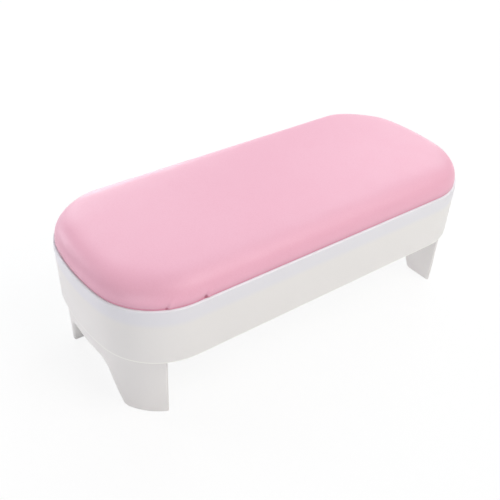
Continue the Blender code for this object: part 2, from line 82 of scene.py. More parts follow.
def colour(name, description, default):
    return FloatVectorProperty(name=name, description=description, default=default, subtype="COLOR", size=3)


class StandSettings(bpy.types.PropertyGroup):
    """Sizes and colours of the moulded stand."""

    corner_radius: length("Corner radius", "Radius of the four corners seen from above", 0.0395)
    end_radius: length("End radius", "Radius of the gently curved ends seen from above", 0.159)
    deck_level: length("Deck level", "Height of the deck that the cushion lies on", 0.0643)
    deck: length("Deck", "Thickness of the deck", 0.0022)
    wall: length("Wall", "Thickness of the upright walls", 0.0020)
    band_height: length("Band height", "Height of the band under the cushion", 0.0355)
    band_draft: length("Band draft", "How much the band tapers in towards its lower edge", 0.0007)
    leg_step: length("Leg step", "How far the legs stand in under the band", 0.0021)
    leg_draft: length("Leg draft", "How much the legs taper in towards their feet", 0.0009)
    core_draft: length("Core draft", "How much the hollows taper in towards their tops", 0.0004)
    rim_fillet: length("Rim fillet", "Radius of the rim's outer edge", 0.0009)
    rim_inner_fillet: length("Inner rim fillet", "Radius of the rim's inner edge", 0.0004)
    band_fillet: length("Band fillet", "Radius of the band's lower edge", 0.0007)
    leg_depth: length("Leg depth", "From the end of the stand to the legs' flat inner walls", 0.026)
    leg_edge: length("Leg edge", "Radius of the legs' upright edges", 0.0010)
    arch_mouth: length("Arch mouth", "Radius of the edge round each arch", 0.0024)
    arch_height: length("Arch height", "Height of the arch between two legs", 0.0255)
    arch_foot: length("Arch foot width", "Width of the arch at the table", 0.061)
    arch_top: length("Arch top width", "Width of the arch where its sides would meet its top", 0.038)
    arch_radius: length("Arch radius", "Radius of the arch's upper corners", 0.010)
    heel: length("Heel", "Radius of the feet's lower edge beside the arch", 0.0016)
    rib: length("Rib", "Thickness of the ribs under the deck", 0.0016)
    rib_depth: length("Rib depth", "How far the ribs reach down", 0.0060)
    boss_radius: length("Boss radius", "Radius of the screw bosses under the deck", 0.0042)
    boss_depth: length("Boss depth", "How far the bosses reach down", 0.0045)
    pad_radius: length("Pad radius", "Radius of the pads that carry the board", 0.0050)
    screw_hole: length("Screw hole", "Radius of the holes that the board screws pass through", 0.0019)
    head_room: length("Head room", "Radius of the space in the ribs round each screw's head", 0.0049)
    gap: length("Gap", "Clearance between pieces that meet", 0.0003)
    plastic: colour("Plastic", "Warm white of the moulding", (0.795, 0.768, 0.752))
    # Painted shade: a cooler, darker white for the band above the deck, where the cushion behind the milky
    # plastic keeps light out
    plastic_painted_shade: colour("Plastic, cool", "Cooler white of the band above the deck", (0.762, 0.745, 0.777))
    plastic_cloud: colour("Plastic, clouds", "Slightly greyer white of the faint clouds", (0.72, 0.71, 0.70))
    # Painted highlight along the rim's top
    plastic_rim_highlight: colour("Plastic, rim", "Light along the rim's top", (0.86, 0.865, 0.90))
    # Painted highlight along the band's lower edge
    plastic_edge_highlight: colour("Plastic, lower edge", "Light along the band's lower edge", (0.93, 0.92, 0.87))


class CushionSettings(bpy.types.PropertyGroup):
    """Sizes and colours of the padded cushion."""

    edge: length("Edge", "How far the cushion's edge lies in from the outside of the rim", 0.0011)
    edge_lift: length("Edge lift", "How far the cushion's edge clears the rim", 0.00005)
    seam_lift: length("Seam lift", "How high over the rim the cushion's edge starts to roll", 0.0009)
    tuck: length("Tuck", "How far the cover's edge turns in at the seam", 0.0001)
    tuck_depth: length("Tuck depth", "How far below the rim's top the cover meets its inner side", 0.0014)
    roll: length("Roll", "Width over which the edge rolls up to the top", 0.0165)
    roll_power: number("Roll fullness", "Higher is a fuller, squarer edge", 2.6)
    corner_ease: number("Corner ease", "How much wider the roll is at the corners", 0.35)
    top_ease: length("Top ease", "From the widest roll to the even middle of the top", 0.0025)
    bow: length("Bow", "How much the flat foam rises from its edge to its middle", 0.0005)
    lean: number("Lean", "How much fuller the padding is towards the right end", 0.06)
    swell: length("Swell", "How far the padding pushes the cover out at most", 0.0010)
    pressure: number("Pressure", "How hard the padding presses on the cover", 0.3)
    leather: colour("Leather", "Pink of the cover", (0.83, 0.427, 0.542))
    leather_pale: colour("Leather, pale", "Lighter pink of the faint clouds", (0.95, 0.60, 0.72))
    # Serves both the grain's valleys and the painted shade at the seam
    leather_grain_and_seam_shade: colour("Leather, deep", "Rose of the cover's edge and grain", (0.70, 0.26, 0.36))
    # Painted shade: a greyer pink just above the edge, where the cover rolls down to the rim
    leather_edge_shade: colour("Leather, mauve", "Greyer pink just above the edge", (0.62, 0.33, 0.43))
    # Painted shade inside the folds
    leather_fold_shade: colour("Leather, folds", "Dark rose inside the folds", (0.36, 0.08, 0.13))


class StageSettings(bpy.types.PropertyGroup):
    """The camera, the lamps and the floor."""

    lens: number("Lens", "Focal length in millimetres", 52.55)
    azimuth: angle("Azimuth", "Camera's direction round the object", -37.71)
    elevation: angle("Elevation", "Camera's angle above the table", 35.52)
    roll: angle("Roll", "Camera's roll", 2.14)
    distance: length("Distance", "From the camera to the object's middle, along its view", 0.46085)
    across: length("Across", "How far the view's middle lies to the right of the object's", -0.01091)
    above: length("Above", "How far the view's middle lies above the object's", -0.00626)
    sky: number("Sky", "Strength of the even light from all round", 0.1)
    lamp_distance: length("Lamp distance", "From the lamps to the object's middle", 1.8)
    floor_half: length("Floor", "Half the floor's width", 6.0)
    floor_drop: length("Floor drop", "How far the floor lies below the feet", 0.0002)


class Plan:
    """The outline seen from above: a long arc over each end, with a round corner on each side of it."""

    def __init__(self, stand):
        self.corner, self.end = stand.corner_radius, stand.end_radius
        self.turn = math.asin((HALF_WIDTH - self.corner) / (self.end - self.corner))
        self.end_x = HALF_LENGTH - self.end
        self.corner_x = self.end_x + (self.end - self.corner) * math.cos(self.turn)
        self.corner_y = HALF_WIDTH - self.corner

    def spot(self, heading, inset):
        """The point of the +X end whose outward direction has this heading, moved in by inset."""
        if abs(heading) <= self.turn:
            x, y, radius = self.end_x, 0.0, self.end - inset
        else:
            x, y, radius = self.corner_x, math.copysign(self.corner_y, heading), self.corner - inset
        return Vector((x + radius * math.cos(heading), y + radius * math.sin(heading)))

    def heading_at_y(self, y, inset):
        """The heading where the +X end, moved in by inset, is y off the middle."""
        on_end = y / (self.end - inset)
        if abs(on_end) <= math.sin(self.turn):
            return math.asin(on_end)
        on_corner = (abs(y) - self.corner_y) / (self.corner - inset)
        return math.copysign(math.asin(min(on_corner, 1.0)), y)

    def heading_at_x(self, x, inset):
        """The heading where the +X end's corner, moved in by inset, is at x."""
        return math.acos((x - self.corner_x) / (self.corner - inset))

    def path(self, step, side_steps, marks=()):
        """The whole outline, anticlockwise from the +X end, as points with their outward directions.

        The corners' points are step apart and the ends' about as close. A mark is a heading
        that gets a point of its own.
        """
        stops = sorted({0.0, self.turn, math.pi / 2, *marks})
        headings = []
        for low, high in zip(stops, stops[1:]):
            radius = self.end if high <= self.turn else self.corner
            count = max(2, round((high - low) * radius / step))
            headings += [low + (high - low) * i / count for i in range(count)]
        headings.append(math.pi / 2)
        quarter = [(self.spot(h, 0.0), Vector((math.cos(h), math.sin(h)))) for h in headings]
        side = []
        for i in range(1, side_steps):
            side.append((Vector((self.corner_x * (1 - 2 * i / side_steps), HALF_WIDTH)), Vector((0.0, 1.0))))
        left = [(Vector((-p.x, p.y)), Vector((-n.x, n.y))) for p, n in reversed(quarter)]
        upper = quarter + side + left
        lower = [(Vector((p.x, -p.y)), Vector((n.x, -n.y))) for p, n in reversed(upper[1:-1])]
        return upper + lower


def ring(path, inset, z):
    """The outline moved inwards by inset, at the height z."""
    return [Vector((*(point - inset * away), z)) for point, away in path]


def skin(mesh, rings):
    """Joins rings with as many points each into a skin and returns the rows of vertices."""
    rows = [[mesh.verts.new(point) for point in points] for points in rings]
    for last, row in zip(rows, rows[1:]):
        for i in range(len(row)):
            mesh.faces.new((last[i - 1], last[i], row[i], row[i - 1]))
    return rows


def turned(mesh, profile, sides, place):
    """Spins a profile of (radius, height) into a closed solid about an upright axis."""
    turns = [2 * math.pi * i / sides for i in range(sides)]
    rings = []
    for radius, z in profile:
        around = [(radius * math.cos(t), radius * math.sin(t)) for t in turns]
        rings.append([Vector((place[0] + x, place[1] + y, z)) for x, y in around])
    rows = skin(mesh, rings)
    mesh.faces.new(rows[0][::-1])
    mesh.faces.new(rows[-1])


def block(mesh, low, high):
    """A box between two corners."""
    middle = (Vector(low) + Vector(high)) / 2
    size = Vector(high) - Vector(low)
    matrix = Matrix.Translation(middle) @ Matrix.Diagonal((*size, 1.0))
    bmesh.ops.create_cube(mesh, size=1.0, matrix=matrix)


def fillet(before, corner, after, radius, steps):
    """Points round a corner of a flat line, or the corner itself where there is no radius."""
    if radius <= 0:
        return [Vector(corner)]
    start, end = Vector(before) - Vector(corner), Vector(after) - Vector(corner)
    half = start.angle(end) / 2
    centre = Vector(corner) + (start.normalized() + end.normalized()).normalized() * radius / math.sin(half)
    first = Vector(corner) + start.normalized() * radius / math.tan(half) - centre
    last = Vector(corner) + end.normalized() * radius / math.tan(half) - centre
    sweep = math.atan2(first.cross(last), first.dot(last))
    return [centre + Matrix.Rotation(sweep * step / steps, 2) @ first for step in range(steps + 1)]


def quarter_round(radius, steps=5):
    """Along and up from a quarter round's start, in steps."""
    turns = [math.pi / 2 * step / steps for step in range(steps + 1)]
    return [(radius * (1 - math.cos(t)), radius * math.sin(t)) for t in turns]


class Arch:
    """The arch between two legs, seen along X, made larger all round by grow."""

    # How the points are shared out from the middle: flat top, shoulder, side, and rounded heel at the foot
    TOP_SHARE, SHOULDER_SHARE, HEEL_SHARE = 0.25, 0.30, 0.08
    # Below this height the direction into the plastic turns level, so that the mouth ends flat on the table
    LEVEL_BELOW = 0.006

    def __init__(self, stand, grow):
        self.lean = (stand.arch_foot - stand.arch_top) / 2 / stand.arch_height
        self.foot = stand.arch_foot / 2 + grow * math.hypot(1.0, self.lean)
        self.top = stand.arch_height + grow
        self.tilt = math.atan(self.lean)
        self.radius = stand.arch_radius + grow
        self.heel = max(stand.heel - grow, 0.0)
        corner = self.foot - self.lean * self.top
        back = self.radius * math.tan((math.pi / 2 - self.tilt) / 2)
        self.flat = corner - back
        self.side_start = Vector((corner + back * math.sin(self.tilt), self.top - back * math.cos(self.tilt)))

    def point(self, share):
        """A point and its direction into the plastic, for a share from 1 at one foot to -1 at the other."""
        side, along = math.copysign(1.0, share), abs(share)
        shoulder_end = self.TOP_SHARE + self.SHOULDER_SHARE
        heel_start = 1.0 - self.HEEL_SHARE
        if along <= self.TOP_SHARE:
            spot, turn = Vector((self.flat * along / self.TOP_SHARE, self.top)), math.pi / 2
        elif along <= shoulder_end:
            turn = math.pi / 2 - (math.pi / 2 - self.tilt) * (along - self.TOP_SHARE) / self.SHOULDER_SHARE
            centre = Vector((self.flat, self.top - self.radius))
            spot = centre + self.radius * Vector((math.cos(turn), math.sin(turn)))
        elif along <= heel_start:
            down = (along - shoulder_end) / (heel_start - shoulder_end)
            heel_top = Vector((self.foot - self.lean * self.heel, self.heel))
            spot, turn = self.side_start.lerp(heel_top, down), self.tilt
        else:
            swing = math.pi / 2 * (1.0 - along) / self.HEEL_SHARE
            z = self.heel * (1 - math.cos(swing))
            spot = Vector((self.foot - self.lean * z + self.heel * (1 - math.sin(swing)), z))
            turn = self.tilt
        turn *= min(1.0, spot.y / self.LEVEL_BELOW)
        return Vector((side * spot.x, spot.y)), Vector((side * math.cos(turn), math.sin(turn)))


class LegPair:
    """The skin of the two legs at one end: outer wall, arch and flat inner wall, outside or hollow inside."""

    WALL_ROWS = 7
    RISE_STEPS = 16
    EDGE_STEPS = 4

    def __init__(self, mesh, plan, stand, side, top, inset_at, hollow):
        self.mesh, self.plan, self.side, self.top, self.inset_at = mesh, plan, side, top, inset_at
        grow = stand.wall if hollow else 0.0
        self.plane = HALF_LENGTH - stand.leg_depth + grow
        self.arch = Arch(stand, grow)
        self.edge_radius = 0.0 if hollow else stand.leg_edge
        self.mouth_radius = 0.0 if hollow else stand.arch_mouth
        self.inner_mouth = 0.0 if hollow else stand.leg_edge

    def vert(self, x, y, z):
        """A new vertex, mirrored where the pair is at the -X end."""
        return self.mesh.verts.new((self.side * x, y, z))

    def upright_edge(self, y_side):
        """Rows of vertices round the upright edge between the outer wall and the flat inner wall."""
        rows = []
        for step in range(self.RISE_STEPS + 1):
            z = self.top * step / self.RISE_STEPS
            inset = self.inset_at(z)
            heading = self.plan.heading_at_x(self.plane, inset)
            corner = self.plan.spot(heading, inset)
            wall_way = Vector((math.sin(heading), -math.cos(heading)))
            plane_way = Vector((0.0, -1.0))
            points = fillet(corner + wall_way, corner, corner + plane_way, self.edge_radius, self.EDGE_STEPS)
            rows.append([self.vert(x, y_side * y, z) for x, y in points])
        for low, high in zip(rows, rows[1:]):
            for i in range(len(low) - 1):
                self.mesh.faces.new((low[i], low[i + 1], high[i + 1], high[i]))
        return rows

    def wall_x(self, y, z):
        """How far out the outer wall is there."""
        inset = self.inset_at(z)
        return self.plan.spot(self.plan.heading_at_y(y, inset), inset).x

    def mouth_rows(self, count, radius, inner):
        """Rows of vertices from the wall into the arch, round its mouth."""
        rows = []
        for back, up in quarter_round(radius) if radius else [(0.0, 0.0)]:
            out, depth = radius - up, back
            row = []
            for k in range(count):
                spot, away = self.arch.point(1 - 2 * k / (count - 1))
                y, z = spot + out * away
                x = self.plane + depth if inner else self.wall_x(y, z) - depth
                row.append(self.vert(x, y, z))
            rows.append(row)
        return rows

    def between(self, outer, inner, on_plane):
        """Rows of vertices on a wall between its outer edge and the mouth of the arch."""
        rows = []
        for step in range(1, self.WALL_ROWS):
            share = step / self.WALL_ROWS
            row = []
            for a, b in zip(outer, inner):
                z = a.co.z + (b.co.z - a.co.z) * share
                if on_plane:
                    row.append(self.vert(self.plane, a.co.y + (b.co.y - a.co.y) * share, z))
                    continue
                start = self.plan.heading_at_y(a.co.y, self.inset_at(a.co.z))
                end = self.plan.heading_at_y(b.co.y, self.inset_at(b.co.z))
                x, y = self.plan.spot(start + (end - start) * share, self.inset_at(z))
                row.append(self.vert(x, y, z))
            rows.append(row)
        return rows

    def build(self, crest):
        """Skins the pair under crest, the vertices of the outer wall's top from +Y to -Y.

        Returns the vertices along the flat inner wall's top: at the +Y edge, between, and at the -Y edge.
        """
        left, right = self.upright_edge(1.0), self.upright_edge(-1.0)
        outer = [row[0] for row in left] + crest + [row[0] for row in reversed(right)]
        plane_top = []
        for step in range(1, len(crest) + 1):
            y = left[-1][-1].co.y * (1 - 2 * step / (len(crest) + 1))
            plane_top.append(self.vert(self.plane, y, self.top))
        plane = [row[-1] for row in left] + plane_top + [row[-1] for row in reversed(right)]
        mouth = self.mouth_rows(len(outer), self.mouth_radius, inner=False)
        inner_mouth = self.mouth_rows(len(outer), self.inner_mouth, inner=True)
        rows = [outer, *self.between(outer, mouth[0], False), *mouth, *reversed(inner_mouth)]
        rows += [*reversed(self.between(plane, inner_mouth[0], True)), plane]
        for first, second in zip(rows, rows[1:]):
            for k in range(len(first) - 1):
                self.mesh.faces.new((first[k], first[k + 1], second[k + 1], second[k]))
        return left[-1], plane_top, right[-1]


def strip(mesh, low, high):
    """Faces between two rows of vertices."""
    for i in range(len(low) - 1):
        mesh.faces.new((low[i], low[i + 1], high[i + 1], high[i]))


def stand_skin(stand):
    """The whole moulding as one closed skin, without the ribs and bosses under its deck."""
    mesh = bmesh.new()
    plan = Plan(stand)
    band_bottom = RIM_HEIGHT - stand.band_height
    deck_bottom = stand.deck_level - stand.deck
    ledge_inset = stand.band_draft + stand.leg_step
    side_inset = ledge_inset + stand.core_draft
    plane = HALF_LENGTH - stand.leg_depth
    path = plan.path(step=0.0030, side_steps=2, marks=(plan.heading_at_x(plane, ledge_inset),))
    count = len(path)

    profile = [(stand.wall, stand.deck_level)]
    for back, up in reversed(quarter_round(stand.rim_inner_fillet)):
        profile.append((stand.wall - stand.rim_inner_fillet + up, RIM_HEIGHT - back))
    for back, up in reversed(quarter_round(stand.rim_fillet)):
        profile.append((back, RIM_HEIGHT - stand.rim_fillet + up))
    for back, up in reversed(quarter_round(stand.band_fillet)):
        profile.append((stand.band_draft + stand.band_fillet - up, band_bottom + back))
    rows = skin(mesh, [ring(path, inset, z) for inset, z in profile])
    mesh.faces.new(rows[0])
    edge = rows[-1]
    ledge = [mesh.verts.new(point) for point in ring(path, ledge_inset, band_bottom)]

    # The four places where the ledge meets the legs' flat inner walls, anticlockwise from +X, +Y
    first, second, third, fourth = [i for i in range(count) if abs(abs(ledge[i].co.x) - plane) < SAME]
    crests = {
        1: [ledge[(first - i) % count] for i in range(1, first + count - fourth)],
        -1: ledge[second + 1:third],
    }
    corners = {1: (first, fourth), -1: (second, third)}

    def leg_inset(z):
        return ledge_inset + stand.leg_draft * (1 - z / band_bottom)

    def hollow_inset(z):
        return ledge_inset + stand.leg_draft + stand.wall + stand.core_draft * z / deck_bottom

    rounded = {}
    deck_ends = {}
    for side in (1, -1):
        legs = LegPair(mesh, plan, stand, side, band_bottom, leg_inset, hollow=False)
        left, plane_top, right = legs.build(crests[side])
        start, end = corners[side]
        rounded[start], rounded[end] = left, right
        low = [ledge[start], left[-1], *plane_top, right[-1], ledge[end]]
        reach = plan.spot(plan.heading_at_x(plane, side_inset), side_inset).y
        high = []
        for step in range(len(low)):
            y = reach * (1 - 2 * step / (len(low) - 1))
            high.append(mesh.verts.new((side * plane, y, deck_bottom)))
        strip(mesh, low, high)
        deck_ends[side] = high

        hollow = LegPair(mesh, plan, stand, side, deck_bottom, hollow_inset, hollow=True)
        crest = []
        for vertex in crests[side]:
            point, away = path[ledge.index(vertex)]
            spot = point - hollow_inset(deck_bottom) * away
            if abs(spot.x) > hollow.plane + stand.wall / 2:
                crest.append(mesh.verts.new((*spot, deck_bottom)))
        left, plane_top, right = hollow.build(crest)
        mesh.faces.new([left[0], *crest, right[0], *reversed(plane_top)])

    # The underside of the band, out to its rounded edge
    for i in range(count):
        j = (i + 1) % count
        inner = [ledge[j], ledge[i]]
        if j in (first, third):
            inner = [ledge[j], *reversed(rounded[j]), ledge[i]]
        elif i in (second, fourth):
            inner = [ledge[j], *rounded[i], ledge[i]]
        mesh.faces.new([edge[i], edge[j], *inner])

    # The long sides' inner walls and the underside of the deck
    borders = []
    for start, end, right_end, left_end in ((first, second, 0, 0), (third, fourth, -1, -1)):
        high = []
        for point, away in path[start + 1:end]:
            high.append(mesh.verts.new((*(point - side_inset * away), deck_bottom)))
        ends = [deck_ends[1][right_end], deck_ends[-1][left_end]]
        if start == third:
            ends.reverse()
        strip(mesh, ledge[start:end + 1], [ends[0], *high, ends[1]])
        borders.append(high)
    mesh.faces.new([*reversed(deck_ends[1]), *borders[0], *deck_ends[-1], *borders[1]])

    # The feet: a ring of plastic round each leg's hollow
    for side_x in (1, -1):
        for side_y in (1, -1):
            rims = []
            for e in mesh.edges:
                middle = (e.verts[0].co + e.verts[1].co) / 2
                if e.is_boundary and middle.x * side_x > 0 and middle.y * side_y > 0:
                    rims.append(e)
            bmesh.ops.triangle_fill(mesh, use_beauty=True, use_dissolve=False, edges=rims)
    bmesh.ops.recalc_face_normals(mesh, faces=mesh.faces)
    return mesh


def screw_places():
    """Where the board screws stand."""
    boxes = [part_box(name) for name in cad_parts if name.startswith("board_screw")]
    return [(low + high) / 2 for low, high in boxes]


def add_mesh(name, mesh, material=None):
    """Puts a bmesh into the scene as a smooth object, with one material."""
    data = bpy.data.meshes.new(name)
    mesh.to_mesh(data)
    mesh.free()
    thing = bpy.data.objects.new(name, data)
    bpy.context.scene.collection.objects.link(thing)
    if material:
        data.materials.append(material)
    data.shade_smooth()
    return thing


def settle(thing):
    """Replaces an object's mesh by what its modifiers make of it."""
    graph = bpy.context.evaluated_depsgraph_get()
    data = bpy.data.meshes.new_from_object(thing.evaluated_get(graph))
    thing.modifiers.clear()
    thing.data = data


def combine(thing, mesh, operation):
    """Joins a bmesh to an object, or cuts it out."""
    other = add_mesh("other", mesh)
    step = thing.modifiers.new("combine", "BOOLEAN")
    step.operation = operation
    step.use_self = True
    step.object = other
    settle(thing)
    bpy.data.objects.remove(other, do_unlink=True)


def even_shading(thing, sharp_degrees=32):
    """Keeps flat faces flat and fillets round, with hard edges where faces meet sharply."""
    thing.data.shade_smooth()
    thing.data.set_sharp_from_angle(angle=math.radians(sharp_degrees))
    step = thing.modifiers.new("even shading", "WEIGHTED_NORMAL")
    step.keep_sharp = True


def seat(thing, slot, *nodes):
    """Rides a piece on the object's one body and hides the CAD parts that it stands for."""
    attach(thing, "root")
    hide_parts(*nodes)


# How far a cutter reaches past what it cuts
CUT_PAST = 0.01


def stiffen(thing, stand):
    """Ribs under the deck through each row of screws, with a boss below and a pad above at each screw."""
    deck_bottom = stand.deck_level - stand.deck
    inside = stand.deck_level - stand.deck / 2
    rib_bottom = deck_bottom - stand.rib_depth
    boss_bottom = deck_bottom - stand.boss_depth
    reach_y = HALF_WIDTH - stand.band_draft - stand.wall / 2
    reach_x = HALF_LENGTH - stand.leg_depth + stand.wall / 2
    places = screw_places()
    pad_top = BOARD_LOW.z - stand.gap
    half = stand.rib / 2
    for x in sorted({round(place.x, 5) for place in places}):
        rib = bmesh.new()
        block(rib, (x - half, -reach_y, rib_bottom), (x + half, reach_y, inside))
        combine(thing, rib, "UNION")
    for y in sorted({round(place.y, 5) for place in places}):
        rib = bmesh.new()
        block(rib, (-reach_x, y - half, rib_bottom), (reach_x, y + half, inside))
        combine(thing, rib, "UNION")
    bosses, holes, heads = bmesh.new(), bmesh.new(), bmesh.new()
    for place in places:
        spot = (place.x, place.y)
        boss = [(stand.boss_radius, boss_bottom), (stand.boss_radius, inside)]
        boss += [(stand.pad_radius, inside), (stand.pad_radius, pad_top)]
        hole = [(stand.screw_hole, boss_bottom - CUT_PAST), (stand.screw_hole, pad_top + CUT_PAST)]
        head = [(stand.head_room, rib_bottom - CUT_PAST), (stand.head_room, boss_bottom)]
        turned(bosses, boss, sides=40, place=spot)
        turned(holes, hole, sides=32, place=spot)
        turned(heads, head, sides=40, place=spot)
    combine(thing, bosses, "UNION")
    combine(thing, holes, "DIFFERENCE")
    combine(thing, heads, "DIFFERENCE")


class Wire:
    """An output socket whose arithmetic adds Math nodes."""

    def __init__(self, shader, socket):
        self.shader = shader
        self.socket = socket

    def _maths(self, operation, *values):
        inputs = dict(enumerate(values))
        return self.shader.node("ShaderNodeMath", {"operation": operation}, inputs)

    def __add__(self, other):
        return self._maths("ADD", self, other)

    def __radd__(self, other):
        return self._maths("ADD", other, self)

    def __sub__(self, other):
        return self._maths("SUBTRACT", self, other)

    def __rsub__(self, other):
        return self._maths("SUBTRACT", other, self)

    def __mul__(self, other):
        return self._maths("MULTIPLY", self, other)

    def __rmul__(self, other):
        return self._maths("MULTIPLY", other, self)


class Shader:
    """A material's nodes, added one call at a time."""

    def __init__(self, name):
        self.material = bpy.data.materials.new(name)
        self.material.use_nodes = True
        self.tree = self.material.node_tree
        self.surface = self.tree.nodes["Principled BSDF"]

    def plug(self, socket, value):
        """Links a wire to a socket, or gives the socket its value."""
        if isinstance(value, Wire):
            self.tree.links.new(value.socket, socket)
        elif socket.type == "RGBA":
            socket.default_value = (*value[:3], 1.0)
        else:
            socket.default_value = value

    def node(self, kind, settings=None, inputs=None, output=0):
        """Adds a node: its settings first, then the values or links of its sockets."""
        node = self.tree.nodes.new(kind)
        for key, value in (settings or {}).items():
            setattr(node, key, value)
        for key, value in (inputs or {}).items():
            self.plug(node.inputs[key], value)
        return Wire(self, node.outputs[output])

    def set(self, **values):
        """Values or wires for the surface's own sockets."""
        for key, value in values.items():
            self.plug(self.surface.inputs[key.replace("_", " ")], value)

    def place(self, axis=None):
        """Where a point is on the object, or one coordinate of it, in metres."""
        spot = self.node("ShaderNodeTexCoord", output="Object")
        if axis is None:
            return spot
        return self.node("ShaderNodeSeparateXYZ", inputs={0: spot}, output=axis)

    def noise(self, scale, detail=2.0, roughness=0.5, vector=None):
        inputs = {"Vector": vector or self.place(), "Scale": scale, "Detail": detail, "Roughness": roughness}
        return self.node("ShaderNodeTexNoise", inputs=inputs, output="Fac")

    def cells(self, scale):
        inputs = {"Vector": self.place(), "Scale": scale}
        return self.node("ShaderNodeTexVoronoi", {"feature": "F1"}, inputs, output="Distance")

    def far(self, spot):
        """The distance from a spot on the object."""
        inputs = {0: self.place(), 1: spot}
        return self.node("ShaderNodeVectorMath", {"operation": "DISTANCE"}, inputs, output="Value")

    def band(self, value, low, high, start=0.0, end=1.0):
        """A smooth step from start at low to end at high."""
        inputs = {"Value": value, "From Min": low, "From Max": high, "To Min": start, "To Max": end}
        return self.node("ShaderNodeMapRange", {"interpolation_type": "SMOOTHSTEP"}, inputs, output="Result")

    def mix(self, factor, first, second):
        """A colour between two, at first where the factor is 0."""
        inputs = {0: factor, 6: first, 7: second}
        return self.node("ShaderNodeMix", {"data_type": "RGBA"}, inputs, output=2)

    def bump(self, height, strength, distance):
        inputs = {"Height": height, "Strength": strength, "Distance": distance}
        self.set(Normal=self.node("ShaderNodeBump", inputs=inputs, output="Normal"))


def moulded_plastic(stand):
    """Satin white plastic with a faint moulded skin, painted shade on the band where the cushion lies behind
    it, and painted highlights along the rim's top and the band's lower edge.
    """
    shader = Shader("moulded_plastic")
    height = shader.place("Z")
    # Painted shade on the band above the deck, where the cushion behind the milky plastic keeps light out
    band_shade_from, band_shade_full = stand.deck_level - 0.002, stand.deck_level + 0.003
    cool = shader.band(height, band_shade_from, band_shade_full)
    shade = shader.mix(cool, stand.plastic, stand.plastic_painted_shade)
    cloud = shader.band(shader.noise(22.0, detail=3.0), 0.35, 0.65, 0.0, 0.05)
    shade = shader.mix(cloud, shade, stand.plastic_cloud)
    # Painted highlights where light gathers in the rounded edges of the milky plastic: the rim's top and the
    # band's lower edge
    rim_highlight_from, rim_highlight_full = RIM_HEIGHT - 0.0007, RIM_HEIGHT - 0.0001
    rim = shader.band(height, rim_highlight_from, rim_highlight_full, 0.0, 0.7)
    shade = shader.mix(rim, shade, stand.plastic_rim_highlight)
    band_bottom = RIM_HEIGHT - stand.band_height
    # Painted highlight in a thin line along the band's lower edge
    edge_highlight_from, edge_highlight_fade, edge_highlight_end = band_bottom - 0.0003, band_bottom + 0.0006, band_bottom + 0.0013
    lower = shader.band(height, edge_highlight_from, band_bottom)
    upper = shader.band(height, edge_highlight_fade, edge_highlight_end, 1.0, 0.0)
    shade = shader.mix(lower * upper, shade, stand.plastic_edge_highlight)
    shader.set(Base_Color=shade)
    fine = shader.noise(900.0, detail=2.0)
    shader.set(Roughness=shader.band(shader.noise(60.0, detail=4.0), 0.3, 0.7, 0.34, 0.44))
    shader.set(IOR=1.47, Specular_IOR_Level=0.4)
    shader.bump(fine, 0.08, 0.0002)
    return shader.material


# Two small folds in the cover's edge on the near side: where each one's notch is along X, and its depth
FOLDS = ((-0.1047, 0.0007), (-0.0836, 0.0010))
# What makes up a fold: place along the seam, width, reach up from the seam, and rise in notch depths
FOLD_PARTS = (
    (0.0, 0.00045, 0.0032, -1.0),
    (0.0014, 0.0009, 0.0060, 0.6),
    (-0.0022, 0.0020, 0.0080, -0.45),
)
# How far a fold leans along the seam for each step up, and how far from its notch the cover is refined
FOLD_LEAN = 0.35
FOLD_REACH = 0.009


def near_seam(plan, x, inset):
    """The point of the near left edge at this x, moved in by inset, and its outward direction."""
    heading = plan.heading_at_x(max(-x, plan.corner_x), inset)
    return Vector((x, -plan.spot(heading, inset).y)), Vector((-math.cos(heading), -math.sin(heading)))


def soft_leather(cushion, plan):
    """Smooth synthetic leather with a fine grain and a soft sheen, and painted shade by the seam: a greyer
    band above it, a deeper rose at it and dark rose in the folds.
    """
    shader = Shader("soft_leather")
    height = shader.place("Z")
    grain = shader.cells(1300.0)
    # Painted shade in a greyer band above the seam, fading out upwards
    edge_shade_full, edge_shade_end = RIM_HEIGHT + 0.0008, RIM_HEIGHT + 0.0045
    mauve = shader.band(height, edge_shade_full, edge_shade_end, 0.45, 0.0)
    shade = shader.mix(mauve, cushion.leather, cushion.leather_edge_shade)
    # Painted shade: a deeper rose just above the seam, for the shade in the crease where the cover meets the
    # rim
    seam_shade_full, seam_shade_end = RIM_HEIGHT + 0.0006, RIM_HEIGHT + 0.0017
    seam = shader.band(height, seam_shade_full, seam_shade_end, 0.8, 0.0)
    shade = shader.mix(seam, shade, cushion.leather_grain_and_seam_shade)
    valley = shader.band(grain, 0.35, 0.75, 0.0, 0.10)
    shade = shader.mix(valley, shade, cushion.leather_grain_and_seam_shade)
    cloud = shader.band(shader.noise(14.0, detail=3.0), 0.35, 0.65, 0.0, 0.06)
    shade = shader.mix(cloud, shade, cushion.leather_pale)
    # Painted shade: dark rose in each fold's notch, fading with the distance from it
    for x, depth in FOLDS:
        spot, _ = near_seam(plan, x, cushion.edge)
        away = shader.far((*spot, RIM_HEIGHT + depth))
        fold = shader.band(away, 0.5 * depth, 1.6 * depth, 0.8, 0.0)
        shade = shader.mix(fold, shade, cushion.leather_fold_shade)
    shader.set(Base_Color=shade)
    shader.set(Roughness=shader.band(shader.noise(80.0, detail=4.0), 0.3, 0.7, 0.46, 0.54))
    shader.set(Specular_IOR_Level=0.5, Sheen_Weight=0.10, Sheen_Roughness=0.4)
    shader.bump(1.0 - grain, 0.10, 0.0002)
    return shader.material


